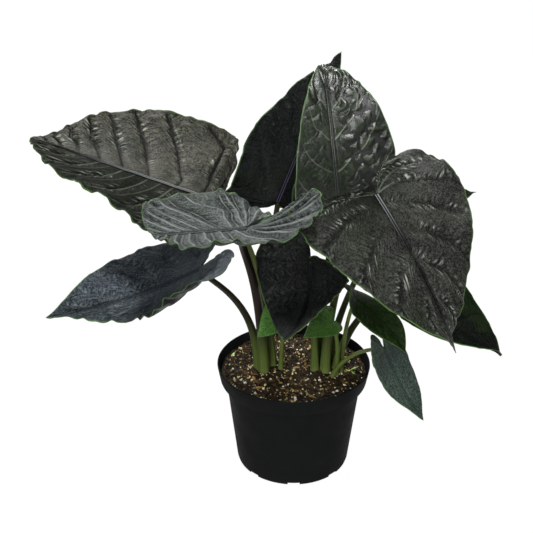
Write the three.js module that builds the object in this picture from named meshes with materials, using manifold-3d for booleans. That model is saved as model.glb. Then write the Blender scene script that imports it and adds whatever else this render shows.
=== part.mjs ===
// A potted velvet-leaved alocasia: thirteen heart-shaped leaves on arching stalks, rising in two
// clumps from the soil of a round plastic nursery pot. Millimetres, +Z up. The origin is the centre
// of the pot's underside, and the plant is seen from the front along +Y.
import * as THREE from 'three';
import { mergeVertices } from 'three/addons/utils/BufferGeometryUtils.js';
import Module from 'manifold-3d';

const wasm = await Module();
wasm.setup();

// Room left between pieces that touch
const GAP = 0.3;

// Pot: a six-inch nursery pot
const POT_HEIGHT = 110;
const RIM_RADIUS = 76.2;
const RIM_BAND_HEIGHT = 17;
const RIM_BAND_BOTTOM_RADIUS = 73;
const BODY_TOP_RADIUS = 67.4;
const BODY_BOTTOM_RADIUS = 57;
const FOOT_RADIUS = 54;
const POT_WALL = 1.6;
const POT_FLOOR = 5;
const CORNER_HEIGHT = 4;
const CORNER_ROUND = 0.3;
const LEDGE_BEVEL = 1;
const LIP_BEVEL = 0.6;
const CHANNEL_OUTER = 46;
const CHANNEL_INNER = 36;
const CHANNEL_DEPTH = 2.4;
const POT_SEGMENTS = 40;
const NOTCH_COUNT = 8;
const NOTCH_WIDTH = 12;
const NOTCH_HEIGHT = 3.5;
const NOTCH_DEPTH = 12;

// Soil. The crumbs of its top are waves, with their turns per millimetre along x and y
const SOIL_LEVEL = 101;
const SOIL_SWELL = 1.6;
const SOIL_RINGS = 7;
const SOIL_ROOM = 0.45;
const CRUMB_HEIGHT = 1.1;
const COARSE_CRUMBS = { x: 0.21, y: 0.24, skew: 0, share: 0.6 };
const FINE_CRUMBS = { x: 0.83, y: 0.71, skew: 0.4, share: 0.4 };
const LUMP_COUNT = 36;
const LUMP_SMALL = 1.3;
const LUMP_LARGE = 2.6;
const LUMP_STRETCH = [0.8, 1.3];
const LUMP_FLATNESS = [0.6, 0.9];
const LUMP_TILT = 0.4;
const LUMP_RISE = 0.1;
const LUMPS_WITHIN = 66;
const LUMP_CLEARANCE = 2;
const STALK_SINK = 14;

// Leaf blades: shares of the half outline of a heart, as (along, across). Along is in blade lengths
// ahead of the stalk and in lobe lengths behind it, and across is in half widths.
const OUTLINE = [
  [-0.16, 0.04], [-0.62, 0.14], [-0.95, 0.34], [-0.97, 0.62], [-0.62, 0.87], [-0.1, 0.99],
  [0.16, 0.97], [0.4, 0.79], [0.64, 0.52], [0.84, 0.24], [0.95, 0.07], [1, 0],
];
const NOTCH_SHARE = 0.16;
const FAN_SHARE = 0.4;
const RIB_SPACING = 1.15;
const HEM_POWER = 2.5;
const BLADE_THICKNESS = 1.1;
const SIDE_VEINS = 9;
const QUILT_HEIGHT = 1.4;
const QUILT_WIDTH = 80;
const LARGE_BLADE = { ribs: 18, steps: 4 };
const SMALL_BLADE = { ribs: 14, steps: 3 };
const SMALL_BLADE_LENGTH = 85;

// Leaf stalks
const STALK_SIDES = 8;
const STALK_STEPS = 10;
const STALK_TAPER = 0.5;
const YOUNG_STALK_RADIUS = 3;
const SEAT_MARGIN = 1.5;
const SEAT_STEP = 0.02;
const SEAT_SHARE = 0.6;

// Each leaf. base, mid and tip lie along the midrib, and face is the way the blade looks. Pairs are
// for the left and the right half, seen from above with the tip ahead: half width, lobe length, lift
// of the half above the midrib at base and tip, curl, pitch of the lobe, taper, splay of the lobe,
// and the waves of the margin as height, count and phase. foot, rise and reach shape the stalk, and
// stalk holds its radius at the soil and below the blade.
const LEAVES = [
  { name: 'upper_left', base: [-93, 39, 272], mid: [-208, 71, 301], tip: [-263, 98, 310],
    face: [0.11, 0.27, 0.96], width: [82, 126], lobe: [34, 56], lift: [[-37, -12], [5, 18]],
    curl: [23, 43], pitch: [10, -100], taper: [1.43, 0.7], splay: [0, 0.4],
    wave: [[3, 5, 0.1], [2.5, 4, 0.3]],
    foot: [-21.5, 3], rise: [-20, 8, 143], reach: [-37, 26, 270], stalk: [4.4, 2.6] },
  { name: 'back', base: [-15.8, 69, 252], mid: [15.6, 114, 315], tip: [50.2, 165, 381],
    face: [-0.5, -0.8, 0.34], width: [53, 51], lobe: [21.5, 8], lift: [[17, -17], [-10, -4]],
    curl: [48, -10], pitch: [8, 10], taper: [0.52, 1.1], splay: [0.34, 0],
    wave: [[3, 5, 0.6], [2, 4, 0]],
    foot: [-27, 14], rise: [-24, 22, 160], reach: [-23, 72, 208], stalk: [4.2, 2.6] },
  { name: 'front', base: [-45, -67, 282], mid: [-100, -103, 293], tip: [-120, -116, 297],
    face: [0.05, -0.08, 1], width: [69, 58], lobe: [60, 41.5], lift: [[3, 2], [7, 6]],
    curl: [32, 6], pitch: [41, -6], taper: [0.78, 0.5], splay: [-0.1, -0.06],
    wave: [[3, 5, 0.2], [3, 4, 0.5]],
    foot: [-29.5, -6.5], rise: [-31, -6, 230], reach: [-59, -11, 236], stalk: [5, 3.4] },
  { name: 'top', base: [41, 26, 270], mid: [31, 43, 359], tip: [25, 75, 390],
    face: [0.1, -0.85, 0.51], width: [42, 61.5], lobe: [31, 21], lift: [[1, 19], [-4.5, 3]],
    curl: [11, 2], pitch: [-130, 0], taper: [1.21, 0.91], splay: [0.29, 0],
    wave: [[1.5, 6, 0], [1.5, 6, 0.4]],
    foot: [24.5, 5], rise: [25, 12, 165], reach: [37, 40, 228], stalk: [4.6, 2.3] },
  { name: 'right', base: [71, -30, 298], mid: [106, -90, 249], tip: [136, -115, 186],
    face: [-0.24, 0.16, 0.96], width: [78, 87], lobe: [57, 34], lift: [[-3, 10], [2, -6]],
    curl: [9, 12], pitch: [-22, -42], taper: [1.08, 1.19], splay: [0.21, -0.3],
    wave: [[2, 6, 0.5], [1.5, 5, 0]],
    foot: [31, -6.5], rise: [31, -4, 175], reach: [48, -10, 245], stalk: [4.8, 2.7] },
  { name: 'centre', base: [14, -21, 229], mid: [9, -43, 190], tip: [-12, -100, 189],
    face: [-0.32, -0.55, 0.77], width: [58, 55], lobe: [8, 34], lift: [[23, 22], [4, -3]],
    curl: [19, -1], pitch: [11, -30], taper: [1.46, 0.92], splay: [-0.3, -0.06],
    wave: [[1, 4, 0], [1.5, 4, 0.5]],
    foot: [21.5, -4.5], rise: [20, -4, 150], reach: [18, -8, 195], stalk: [4.2, 2] },
  { name: 'lower_left', base: [-89, -23, 222], mid: [-161, -22, 190], tip: [-226, -66, 194],
    face: [0.37, -0.26, 0.89], width: [86, 64], lobe: [48, 17], lift: [[-7, 31], [-3, 31]],
    curl: [55, -15], pitch: [9, 29], taper: [1.04, 0.93], splay: [-0.3, 0],
    wave: [[3, 4, 0.7], [2, 4, 0.2]],
    foot: [-35, 2.5], rise: [-33, 1, 181], reach: [-77, -10, 198], stalk: [4.6, 2.5] },
  { name: 'lower_right', base: [109, 16, 170], mid: [172, 15, 131], tip: [204, -12, 124],
    face: [0.75, -0.57, 0.33], width: [54, 21.5], lobe: [26, 20], lift: [[7, 1], [3, 7]],
    curl: [15, 6], pitch: [0, 40], taper: [0.99, 0.96], splay: [0, 0],
    wave: [[1.5, 4, 0], [1.5, 4, 0.5]],
    foot: [40, -1], rise: [48, 6, 165], reach: [102, 28, 180], stalk: [4.6, 2.3] },
  { name: 'far_right', base: [99, 50, 246], mid: [142, 70, 256], tip: [186, 90, 255],
    face: [0.1, -0.1, 1], width: [38, 38], lobe: [30, 30], lift: [[5, 5], [5, 5]],
    curl: [0, 0], pitch: [0, 0], taper: [1, 1], splay: [0, 0],
    wave: [[2, 4, 0], [2, 4, 0.5]],
    foot: [34, 7.5], rise: [40, 14, 170], reach: [80, 42, 218], stalk: [4.2, 2.3] },
  { name: 'young_right', base: [57, -30, 194], mid: [83, -39, 173], tip: [101, -64, 156],
    face: [-0.12, -0.11, 0.99], width: [27, 25], lobe: [16, 23], lift: [[-5, 14], [3, 9]],
    curl: [-21, -10], pitch: [0, 39], taper: [0.93, 0.98], splay: [0, -0.09],
    wave: [[1, 3, 0], [1, 3, 0.5]],
    foot: [46.5, -6], rise: [47, -7, 135], reach: [50, -22, 176], stalk: [2.6, 1.7] },
  { name: 'hanging_right', base: [86, -28, 139], mid: [104, -29, 99], tip: [125, -49, 72],
    face: [0.49, -0.59, 0.65], width: [32, 26], lobe: [18, 26], lift: [[-7, 10], [6, -2]],
    curl: [-6, 4], pitch: [0, -6], taper: [0.83, 0.99], splay: [0, -0.16],
    wave: [[1, 4, 0.3], [1, 4, 0]],
    foot: [34, -14.2], rise: [38, -21, 122], reach: [62, -28, 142], stalk: [2.4, 1.6] },
  { name: 'small_right', base: [34, -30, 171], mid: [22, -40, 167], tip: [7, -52, 166],
    face: [0, -0.5, 0.85], width: [14, 19], lobe: [4, 12], lift: [[0, 0], [0, 0]],
    curl: [0, 0], pitch: [0, 0], taper: [1, 1], splay: [0, 0],
    wave: [[0.6, 3, 0], [0.6, 3, 0.5]],
    foot: [41, -11.5], rise: [43, -16, 125], reach: [43, -24, 150], stalk: [2.4, 1.6] },
  { name: 'small_left', base: [-12, -18, 177], mid: [-24, -26, 165], tip: [-36, -31, 154],
    face: [0, -0.8, 0.6], width: [16, 16], lobe: [12, 12], lift: [[0, 0], [0, 0]],
    curl: [0, 0], pitch: [0, 0], taper: [1, 1], splay: [0, 0],
    wave: [[0.6, 3, 0], [0.6, 3, 0.5]],
    foot: [-13.5, -3], rise: [-13, -3, 125], reach: [-8, -8, 158], stalk: [2.4, 1.6] },
];

const LOOKS = {
  pot: { color: 0x141516, roughness: 0.6 },
  soil: { color: 0x3b2c20, roughness: 0.95 },
  velvet: { color: 0x2b352d, roughness: 0.55 },
  young: { color: 0x3f6b2c, roughness: 0.55 },
  stalk: { color: 0x4c4a33, roughness: 0.5 },
};

// Closed meshes as solids, and back
function solidFrom(positions, triangles) {
  const mesh = new wasm.Mesh({
    numProp: 3,
    vertProperties: Float32Array.from(positions),
    triVerts: Uint32Array.from(triangles),
  });
  return new wasm.Manifold(mesh);
}

const WELD_DISTANCE = 1e-4;

function solidOf(geometry) {
  const bare = new THREE.BufferGeometry();
  bare.setAttribute('position', geometry.getAttribute('position'));
  if (geometry.index) bare.setIndex(geometry.index);
  const merged = mergeVertices(bare, WELD_DISTANCE);
  return solidFrom(merged.getAttribute('position').array, merged.index.array);
}

function geometryOf(solid) {
  const mesh = solid.getMesh();
  const geometry = new THREE.BufferGeometry();
  geometry.setAttribute('position', new THREE.BufferAttribute(mesh.vertProperties, 3));
  geometry.setIndex(new THREE.BufferAttribute(mesh.triVerts, 1));
  geometry.computeVertexNormals();
  return geometry;
}

function largestPiece(solid) {
  const pieces = solid.decompose();
  return pieces.reduce((a, b) => (b.volume() > a.volume() ? b : a));
}

// Repeatable random numbers between 0 and 1
const RANDOM_FACTOR = 1664525;
const RANDOM_STEP = 1013904223;
const RANDOM_RANGE = 2 ** 32;

function seededRandom(seed) {
  let state = seed;
  return () => {
    state = (Math.imul(state, RANDOM_FACTOR) + RANDOM_STEP) >>> 0;
    return state / RANDOM_RANGE;
  };
}

const vector = (p) => new THREE.Vector3(...p);
const mix = (a, b, share) => a + (b - a) * share;
const clamp01 = (x) => Math.min(1, Math.max(0, x));
const radians = (degrees) => (degrees * Math.PI) / 180;

// Point of the half outline at share a, by a Catmull-Rom curve through OUTLINE
function outlineAt(a) {
  const last = OUTLINE.length - 1;
  const x = clamp01(a) * last;
  const i = Math.min(Math.floor(x), last - 1);
  const f = x - i;
  return [0, 1].map((k) => {
    const p1 = OUTLINE[i][k];
    const p2 = OUTLINE[i + 1][k];
    const p0 = i > 0 ? OUTLINE[i - 1][k] : 2 * p1 - p2;
    const p3 = i + 2 <= last ? OUTLINE[i + 2][k] : 2 * p2 - p1;
    const slope = p2 - p0;
    const bend = 2 * p0 - 5 * p1 + 4 * p2 - p3;
    const twist = p3 - p0 + 3 * (p1 - p2);
    return 0.5 * (2 * p1 + slope * f + bend * f * f + twist * f * f * f);
  });
}

function midribOf(leaf) {
  const base = vector(leaf.base);
  const tip = vector(leaf.tip);
  const ends = base.clone().add(tip).multiplyScalar(0.5);
  const control = vector(leaf.mid).multiplyScalar(2).sub(ends);
  return new THREE.QuadraticBezierCurve3(base, control, tip);
}

// Height of the quilting between the side veins
function quilt(a, t) {
  const panel = (a * SIDE_VEINS) % 1;
  return QUILT_HEIGHT * Math.sin(Math.PI * panel) ** 2 * Math.sin(Math.PI * t);
}

// Middle surface of a blade. a runs round the margin from the notch behind the stalk to the tip, and
// t along a rib from the midrib to the margin. side is 0 for the left half and 1 for the right.
function bladePoint(leaf, curve, length, a, t, side) {
  const [ex, ey] = outlineAt(a);
  const reach = ex > 0 ? ex ** leaf.taper[side] * length : ex * leaf.lobe[side];
  const spread = ey + leaf.splay[side] * Math.max(-ex - NOTCH_SHARE, 0);
  const root = clamp01((a - FAN_SHARE) / (1 - FAN_SHARE)) ** RIB_SPACING * length;
  const along = mix(root, reach, t);
  const across = spread * leaf.width[side] * t;

  const share = clamp01(along / length);
  const tangent = curve.getTangent(share);
  const up = vector(leaf.face).normalize();
  up.addScaledVector(tangent, -up.dot(tangent)).normalize();
  const outward = up.clone().cross(tangent).multiplyScalar(side === 0 ? 1 : -1);

  const lift = radians(mix(leaf.lift[side][0], leaf.lift[side][1], share));
  const bow = (radians(leaf.curl[side]) * across) / leaf.width[side] / 2;
  const chord = Math.abs(bow) < 1e-6 ? across : (across * Math.sin(bow)) / bow;
  const back = Math.min(along, 0);
  const backShare = clamp01(-back / leaf.lobe[side]);
  const turn = (radians(leaf.pitch[side]) * (1 + backShare)) / 2;

  const [waveHeight, waveCount, wavePhase] = leaf.wave[side];
  const fade = Math.sqrt(Math.sin(Math.PI * clamp01(a)));
  const wave = waveHeight * fade * t ** HEM_POWER * Math.sin(2 * Math.PI * (waveCount * a + wavePhase));
  const quilting = (quilt(a, t) * leaf.width[side]) / QUILT_WIDTH;

  return curve.getPoint(share)
    .addScaledVector(outward, chord * Math.cos(lift + bow))
    .addScaledVector(up, chord * Math.sin(lift + bow) + wave + quilting)
    .addScaledVector(tangent, back * Math.cos(turn))
    .addScaledVector(up, -back * Math.sin(turn));
}

// A blade's middle surface as points and triangles, with its margin as a loop of point numbers
function bladeSheet(leaf) {
  const curve = midribOf(leaf);
  const length = curve.getLength();
  const { ribs, steps } = length > SMALL_BLADE_LENGTH ? LARGE_BLADE : SMALL_BLADE;
  const points = [vector(leaf.base), vector(leaf.tip)];
  const [BASE, TIP] = [0, 1];

  // Rib roots on the midrib are shared by both halves, and ribs of the fan start at the base
  const roots = [];
  for (let i = 0; i < ribs; i++) {
    const fromBase = i / ribs <= FAN_SHARE;
    roots.push(fromBase ? BASE : points.length);
    if (!fromBase) points.push(bladePoint(leaf, curve, length, i / ribs, 0, 0));
  }
  const triangles = [];
  const halves = [0, 1].map((side) => {
    const grid = roots.map((root, i) => {
      const row = [root];
      for (let j = 1; j <= steps; j++) {
        row.push(points.length);
        points.push(bladePoint(leaf, curve, length, i / ribs, j / steps, side));
      }
      return row;
    });
    grid.push(new Array(steps + 1).fill(TIP));
    for (let i = 0; i < ribs; i++) {
      for (let j = 0; j < steps; j++) {
        const corners = [grid[i][j], grid[i][j + 1], grid[i + 1][j + 1], grid[i + 1][j]];
        if (side === 1) corners.reverse();
        const [p, q, r, s] = corners;
        if (p !== q && q !== r && p !== r) triangles.push([p, q, r]);
        if (p !== r && r !== s && p !== s) triangles.push([p, r, s]);
      }
    }
    return grid;
  });
  const edge = (grid) => [...grid[0].slice(1), ...grid.slice(1, ribs).map((row) => row[steps])];
  const margin = [BASE, ...edge(halves[0]), TIP, ...edge(halves[1]).reverse()];
  return { points, triangles, margin };
}

// A blade of even thickness round its middle surface. Both faces are split into triangles alike.
function bladeSolid(leaf, thickness) {
  const { points, triangles, margin } = bladeSheet(leaf);
  const normals = points.map(() => new THREE.Vector3());
  for (const [a, b, c] of triangles) {
    const ab = points[b].clone().sub(points[a]);
    const ac = points[c].clone().sub(points[a]);
    const normal = ab.cross(ac);
    for (const k of [a, b, c]) normals[k].add(normal);
  }
  const positions = [];
  for (const offset of [thickness / 2, -thickness / 2]) {
    points.forEach((p, k) => {
      const q = p.clone().addScaledVector(normals[k].normalize(), offset);
      positions.push(q.x, q.y, q.z);
    });
  }
  const count = points.length;
  const faces = [];
  for (const [a, b, c] of triangles) {
    faces.push(a, b, c);
    faces.push(c + count, b + count, a + count);
  }
  margin.forEach((p, k) => {
    const q = margin[(k + 1) % margin.length];
    faces.push(q, p, p + count);
    faces.push(q, p + count, q + count);
  });
  return solidFrom(positions, faces);
}

// Where a stalk ends below its blade: the flat seat's height below the base, and the way up from it.
// The seat lies a gap below the lowest point of the blade's underside over the stalk's end.
function seatOf(leaf) {
  const curve = midribOf(leaf);
  const length = curve.getLength();
  const base = vector(leaf.base);
  const up = vector(leaf.face).normalize();
  const tangent = curve.getTangent(0);
  up.addScaledVector(tangent, -up.dot(tangent)).normalize();
  const reach = leaf.stalk[1] + SEAT_MARGIN;
  let sag = 0;
  for (const side of [0, 1]) {
    for (let a = 0; a < 1; a += SEAT_STEP) {
      for (let t = 0; t < SEAT_SHARE; t += SEAT_STEP) {
        const offset = bladePoint(leaf, curve, length, a, t, side).sub(base);
        const height = offset.dot(up);
        if (offset.addScaledVector(up, -height).length() < reach) sag = Math.max(sag, -height);
      }
    }
  }
  return { depth: sag + BLADE_THICKNESS / 2 + GAP, up };
}

// A leaf's stalk: a tapering tube from below the soil to its seat under the blade, made larger by
// extra
function stalkSolid(leaf, extra) {
  const foot = new THREE.Vector3(...leaf.foot, SOIL_LEVEL - STALK_SINK);
  const { depth, up } = seatOf(leaf);
  const end = vector(leaf.base).addScaledVector(up, -depth);
  const curve = new THREE.CubicBezierCurve3(foot, vector(leaf.rise), vector(leaf.reach), end);
  const [footRadius, tipRadius] = leaf.stalk;
  const side = new THREE.Vector3(0, 1, 0);
  const positions = [];
  for (let i = 0; i <= STALK_STEPS; i++) {
    const share = i / STALK_STEPS;
    const tangent = curve.getTangent(share);
    const overrun = i === 0 ? -extra : 0;
    const centre = curve.getPoint(share).addScaledVector(tangent, overrun);
    const u = side.clone().addScaledVector(tangent, -side.dot(tangent)).normalize();
    const v = tangent.clone().cross(u);
    const radius = mix(footRadius, tipRadius, share ** STALK_TAPER) + extra;
    for (let k = 0; k < STALK_SIDES; k++) {
      const angle = (2 * Math.PI * k) / STALK_SIDES;
      const p = centre.clone()
        .addScaledVector(u, radius * Math.cos(angle))
        .addScaledVector(v, radius * Math.sin(angle));
      // The last ring slides along the stalk into the plane of the seat
      if (i === STALK_STEPS) {
        const above = p.clone().sub(centre).dot(up);
        p.addScaledVector(tangent, -above / tangent.dot(up));
      }
      positions.push(p.x, p.y, p.z);
    }
  }
  const faces = [];
  for (let i = 0; i < STALK_STEPS; i++) {
    for (let k = 0; k < STALK_SIDES; k++) {
      const a = i * STALK_SIDES + k;
      const b = i * STALK_SIDES + ((k + 1) % STALK_SIDES);
      faces.push(a, b, b + STALK_SIDES, a, b + STALK_SIDES, a + STALK_SIDES);
    }
  }
  const top = STALK_STEPS * STALK_SIDES;
  for (let k = 1; k < STALK_SIDES - 1; k++) {
    faces.push(0, k + 1, k);
    faces.push(top, top + k, top + k + 1);
  }
  return solidFrom(positions, faces);
}

// The pot's wall from the underside's centre, round the outside and back along the inside
const RIM_BOTTOM = POT_HEIGHT - RIM_BAND_HEIGHT;
const INSIDE = [
  [RIM_RADIUS - POT_WALL, POT_HEIGHT],
  [RIM_BAND_BOTTOM_RADIUS - POT_WALL, RIM_BOTTOM + POT_WALL],
  [BODY_TOP_RADIUS - POT_WALL, RIM_BOTTOM - POT_WALL],
  [BODY_BOTTOM_RADIUS - POT_WALL, POT_FLOOR],
];
const OUTSIDE = [
  [0, 0],
  [CHANNEL_INNER, 0],
  [CHANNEL_INNER + CHANNEL_DEPTH, CHANNEL_DEPTH],
  [CHANNEL_OUTER - CHANNEL_DEPTH, CHANNEL_DEPTH],
  [CHANNEL_OUTER, 0],
  [FOOT_RADIUS, 0],
  [mix(BODY_BOTTOM_RADIUS, FOOT_RADIUS, CORNER_ROUND), CORNER_HEIGHT * CORNER_ROUND],
  [BODY_BOTTOM_RADIUS, CORNER_HEIGHT],
  [BODY_TOP_RADIUS, RIM_BOTTOM - LEDGE_BEVEL],
  [BODY_TOP_RADIUS + LEDGE_BEVEL, RIM_BOTTOM],
  [RIM_BAND_BOTTOM_RADIUS - LIP_BEVEL, RIM_BOTTOM],
  [RIM_BAND_BOTTOM_RADIUS, RIM_BOTTOM + LIP_BEVEL],
  [RIM_RADIUS, POT_HEIGHT - LIP_BEVEL],
  [RIM_RADIUS - LIP_BEVEL, POT_HEIGHT],
];

function turned(profile) {
  const points = profile.map(([r, z]) => new THREE.Vector2(r, z));
  const geometry = new THREE.LatheGeometry(points, POT_SEGMENTS);
  return solidOf(geometry.rotateX(Math.PI / 2));
}

function potSolid() {
  let pot = turned([...OUTSIDE, ...INSIDE, [0, POT_FLOOR]]);
  for (let k = 0; k < NOTCH_COUNT; k++) {
    const notch = new THREE.BoxGeometry(2 * NOTCH_DEPTH, NOTCH_WIDTH, 2 * NOTCH_HEIGHT);
    notch.translate(BODY_BOTTOM_RADIUS, 0, 0);
    notch.rotateZ((2 * Math.PI * k) / NOTCH_COUNT);
    pot = pot.subtract(solidOf(notch));
  }
  return pot;
}

// The soil's edge stays clear of the pot where its crumbs lie lowest
const [[RIM_INNER_RADIUS, RIM_TOP], [LEDGE_RADIUS, LEDGE_TOP]] = INSIDE;
const EDGE_SHARE = (SOIL_LEVEL - CRUMB_HEIGHT - LEDGE_TOP) / (RIM_TOP - LEDGE_TOP);
const SOIL_EDGE_RADIUS = mix(LEDGE_RADIUS, RIM_INNER_RADIUS, EDGE_SHARE) - SOIL_ROOM;

function crumbs(x, y, wave) {
  return wave.share * Math.sin(x * wave.x + y * wave.skew) * Math.cos(y * wave.y + x * wave.skew);
}

function soilHeight(x, y) {
  const swell = SOIL_SWELL * (1 - (x * x + y * y) / SOIL_EDGE_RADIUS ** 2);
  const rough = crumbs(x, y, COARSE_CRUMBS) + crumbs(x, y, FINE_CRUMBS);
  return SOIL_LEVEL + swell + CRUMB_HEIGHT * rough;
}

// The soil's body, from its lumpy top to the pot's floor
function soilBody() {
  const rings = [];
  for (let i = 1; i <= SOIL_RINGS; i++) {
    rings.push([(SOIL_EDGE_RADIUS * i) / SOIL_RINGS, soilHeight]);
  }
  for (const [r, z] of INSIDE.slice(1)) {
    rings.push([r - SOIL_ROOM, () => z + SOIL_ROOM]);
  }
  const positions = [0, 0, soilHeight(0, 0)];
  for (const [r, height] of rings) {
    for (let k = 0; k < POT_SEGMENTS; k++) {
      const angle = (2 * Math.PI * k) / POT_SEGMENTS;
      const x = r * Math.sin(angle);
      const y = -r * Math.cos(angle);
      positions.push(x, y, height(x, y));
    }
  }
  const bottom = positions.length / 3;
  positions.push(0, 0, POT_FLOOR + SOIL_ROOM);
  const faces = [];
  const last = 1 + (rings.length - 1) * POT_SEGMENTS;
  for (let k = 0; k < POT_SEGMENTS; k++) {
    const next = (k + 1) % POT_SEGMENTS;
    faces.push(0, 1 + k, 1 + next);
    faces.push(bottom, last + next, last + k);
    for (let i = 0; i < rings.length - 1; i++) {
      const a = 1 + i * POT_SEGMENTS;
      const b = a + POT_SEGMENTS;
      faces.push(a + k, b + k, b + next, a + k, b + next, a + next);
    }
  }
  return solidFrom(positions, faces);
}

// Perlite and bark: lumps half sunk in the soil, clear of the stalks and of the pot's wall
function lumps() {
  const random = seededRandom(17);
  const solids = [];
  while (solids.length < LUMP_COUNT) {
    const radius = mix(LUMP_SMALL, LUMP_LARGE, random() ** 2);
    const distance = LUMPS_WITHIN * Math.sqrt(random());
    const angle = 2 * Math.PI * random();
    const x = distance * Math.cos(angle);
    const y = distance * Math.sin(angle);
    const clear = LEAVES.every(({ foot, stalk }) =>
      Math.hypot(x - foot[0], y - foot[1]) > stalk[0] + radius + LUMP_CLEARANCE);
    if (!clear) continue;
    const lump = new THREE.IcosahedronGeometry(radius, 0);
    lump.scale(mix(...LUMP_STRETCH, random()), 1, mix(...LUMP_FLATNESS, random()));
    lump.rotateZ(Math.PI * random());
    lump.rotateX(LUMP_TILT * random());
    lump.translate(x, y, soilHeight(x, y) + LUMP_RISE * radius);
    solids.push(solidOf(lump));
  }
  return solids;
}

function soilSolid() {
  const filled = lumps().reduce((soil, lump) => soil.add(lump), soilBody());
  const holes = LEAVES.map((leaf) => stalkSolid(leaf, GAP));
  return largestPiece(holes.reduce((soil, hole) => soil.subtract(hole), filled));
}

const plant = new THREE.Group();

function addPiece(name, solid, look) {
  const mesh = new THREE.Mesh(geometryOf(solid), new THREE.MeshStandardMaterial(look));
  mesh.name = name;
  plant.add(mesh);
}

addPiece('pot', potSolid(), LOOKS.pot);
addPiece('soil', soilSolid(), LOOKS.soil);

for (const leaf of LEAVES) {
  const young = leaf.stalk[0] < YOUNG_STALK_RADIUS;
  const blade = bladeSolid(leaf, BLADE_THICKNESS);
  addPiece(`leaf_${leaf.name}`, blade, young ? LOOKS.young : LOOKS.velvet);
  addPiece(`stalk_${leaf.name}`, stalkSolid(leaf, 0), LOOKS.stalk);
}

export default plant;
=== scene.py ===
"""Looks for the potted velvet-leaved alocasia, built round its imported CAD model.

Shapes are worked out in millimetres, in the CAD frame, and written to Blender in metres.
"""

import itertools
import math
from types import SimpleNamespace

import bpy
import numpy as np
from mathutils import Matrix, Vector


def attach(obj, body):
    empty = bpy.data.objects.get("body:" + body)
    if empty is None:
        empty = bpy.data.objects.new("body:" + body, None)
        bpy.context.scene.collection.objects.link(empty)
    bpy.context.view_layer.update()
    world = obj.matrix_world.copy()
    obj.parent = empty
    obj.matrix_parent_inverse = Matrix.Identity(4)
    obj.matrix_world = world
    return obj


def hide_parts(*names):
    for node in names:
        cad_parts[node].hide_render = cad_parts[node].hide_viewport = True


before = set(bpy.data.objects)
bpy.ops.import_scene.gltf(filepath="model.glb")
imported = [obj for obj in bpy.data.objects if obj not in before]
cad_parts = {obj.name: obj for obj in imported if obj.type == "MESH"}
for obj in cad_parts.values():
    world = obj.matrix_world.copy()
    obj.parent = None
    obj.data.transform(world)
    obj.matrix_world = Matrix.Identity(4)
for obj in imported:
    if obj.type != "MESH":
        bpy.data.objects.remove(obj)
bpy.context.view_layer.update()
scene = bpy.context.scene

MM = 0.001

# Blades, as in the CAD model: the half outline from the notch to the tip, as shares along and across.
# The lobes part at NOTCH. Lines across the blade fan out from the base over FAN_SHARE of the outline,
# and the others start along the midrib, spaced by the power RIB_SPACING
OUTLINE = np.array([
    (-0.16, 0.04), (-0.62, 0.14), (-0.95, 0.34), (-0.97, 0.62), (-0.62, 0.87), (-0.1, 0.99),
    (0.16, 0.97), (0.4, 0.79), (0.64, 0.52), (0.84, 0.24), (0.95, 0.07), (1.0, 0.0),
])
NOTCH = 0.16
FAN_SHARE = 0.4
RIB_SPACING = 1.15
QUILT_WIDTH = 80.0

# Stalks and soil, as in the CAD model
SOIL_LEVEL = 101.0
STALK_SINK = 14.0

# Meshes of the dressed blades: the side of a cell on large and on small ones, how its columns crowd
# towards the midrib, thickness at the margin and elsewhere, and how askew the side veins run
CELL = 1.33
SMALL_CELL = 0.8
SMALL_LENGTH = 60
CROWDING = 1.3
BLADE_EDGE = 0.5
BLADE_BODY = 0.9
PANEL_SKEW = 0.75

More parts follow.
